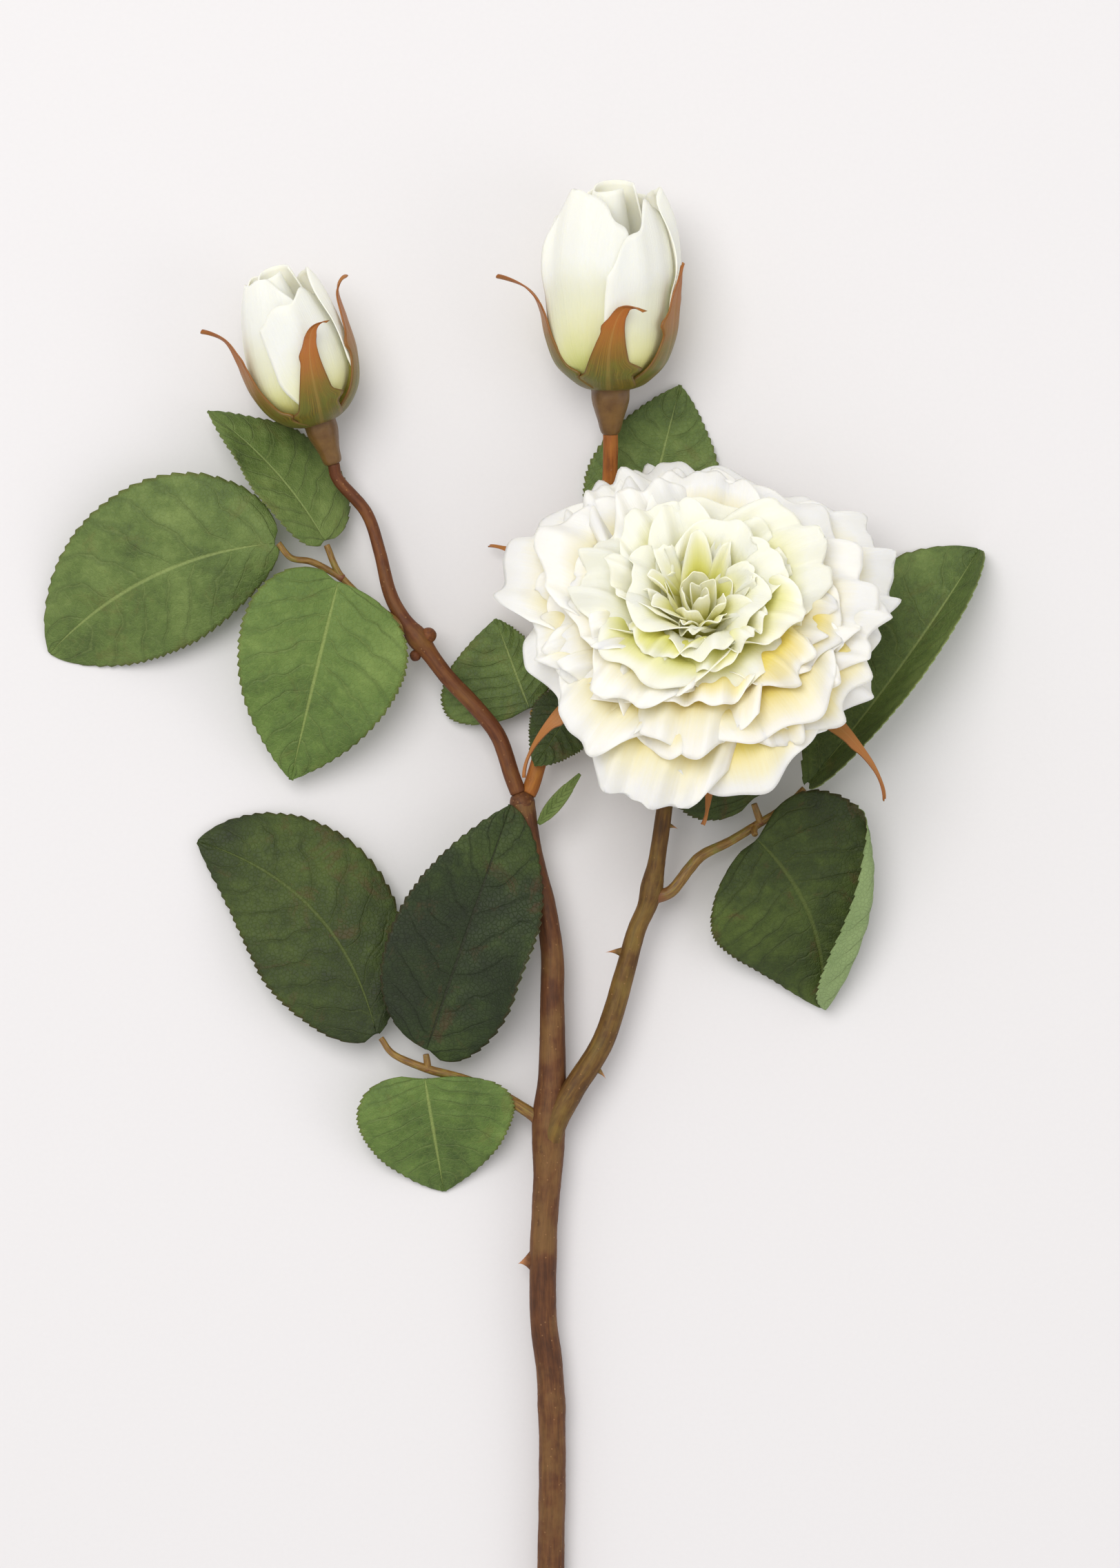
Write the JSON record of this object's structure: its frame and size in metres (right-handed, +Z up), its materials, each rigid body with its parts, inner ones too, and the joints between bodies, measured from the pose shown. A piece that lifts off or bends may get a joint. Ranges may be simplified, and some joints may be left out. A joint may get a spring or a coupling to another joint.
{
  "type": "cut garden rose",
  "caption": "Cut garden rose lying on its back: an open many-petalled white bloom and closed buds on a forked brown cane with serrated green leaflets.",
  "frame": {"origin": "on the surface the rose lies on, below the middle of its bounding box", "axes": "+Z up from the surface, +Y from the cut end of the cane towards the buds, +X to the right seen from above"},
  "size_m": [0.2448, 0.3952, 0.0676],
  "materials": {
    "bark": "fresh reddish-brown rose bark, satin",
    "green_stalk": "fresh yellow-green leaf stalk, satin",
    "leaf": "fresh olive-green leaf, satin, paler veins",
    "dark_leaf": "fresh dark green leaf with brown blotches, satin",
    "sepal": "olive to orange-brown sepal and hip, satin",
    "petal": "soft matt white petal, yellowish towards its base",
    "inner_petal": "soft matt cream petal, greenish yellow in the heart"
  },
  "bodies": {
    "root": {"main_stem": "bark", "bloom_shoot": "bark", "left_bud_shoot": "bark", "right_bud_shoot": "bark", "leaf_a_stalk": "green_stalk", "leaf_b_stalk": "green_stalk", "leaf_c_stalk": "green_stalk", "leaf_d_stalk": "green_stalk", "leaf_e_stalk": "green_stalk", "bract": "green_stalk", "leaf_a_left": "leaf", "leaf_a_top": "leaf", "leaf_a_front": "leaf", "leaf_b_front": "leaf", "leaf_c": "leaf", "leaf_d_left": "leaf", "leaf_e_right": "leaf", "leaf_b_left": "dark_leaf", "leaf_b_top": "dark_leaf", "leaf_e_front": "dark_leaf", "leaf_e_back": "dark_leaf", "leaf_d_right": "dark_leaf", "bloom_calyx": "sepal", "left_bud_calyx": "sepal", "right_bud_calyx": "sepal", "bloom_heart": "inner_petal", "bloom_inner_whorl": "inner_petal", "bloom_middle_whorl": "inner_petal", "left_bud_heart": "inner_petal", "right_bud_heart": "inner_petal", "bloom_inner_petal_1": "petal", "bloom_inner_petal_2": "petal", "bloom_inner_petal_3": "petal", "bloom_inner_petal_4": "petal", "bloom_inner_petal_5": "petal", "bloom_middle_petal_1": "petal", "bloom_middle_petal_2": "petal", "bloom_middle_petal_3": "petal", "bloom_middle_petal_4": "petal", "bloom_middle_petal_5": "petal", "bloom_middle_petal_6": "petal", "bloom_middle_petal_7": "petal", "bloom_outer_petal_1": "petal", "bloom_outer_petal_2": "petal", "bloom_outer_petal_3": "petal", "bloom_outer_petal_4": "petal", "bloom_outer_petal_5": "petal", "bloom_outer_petal_6": "petal", "bloom_outer_petal_7": "petal", "bloom_outer_petal_8": "petal", "left_bud_petal_1": "petal", "left_bud_petal_2": "petal", "left_bud_petal_3": "petal", "left_bud_petal_4": "petal", "right_bud_petal_1": "petal", "right_bud_petal_2": "petal", "right_bud_petal_3": "petal", "right_bud_petal_4": "petal", "right_bud_petal_5": "petal"}
  },
  "joints": []
}
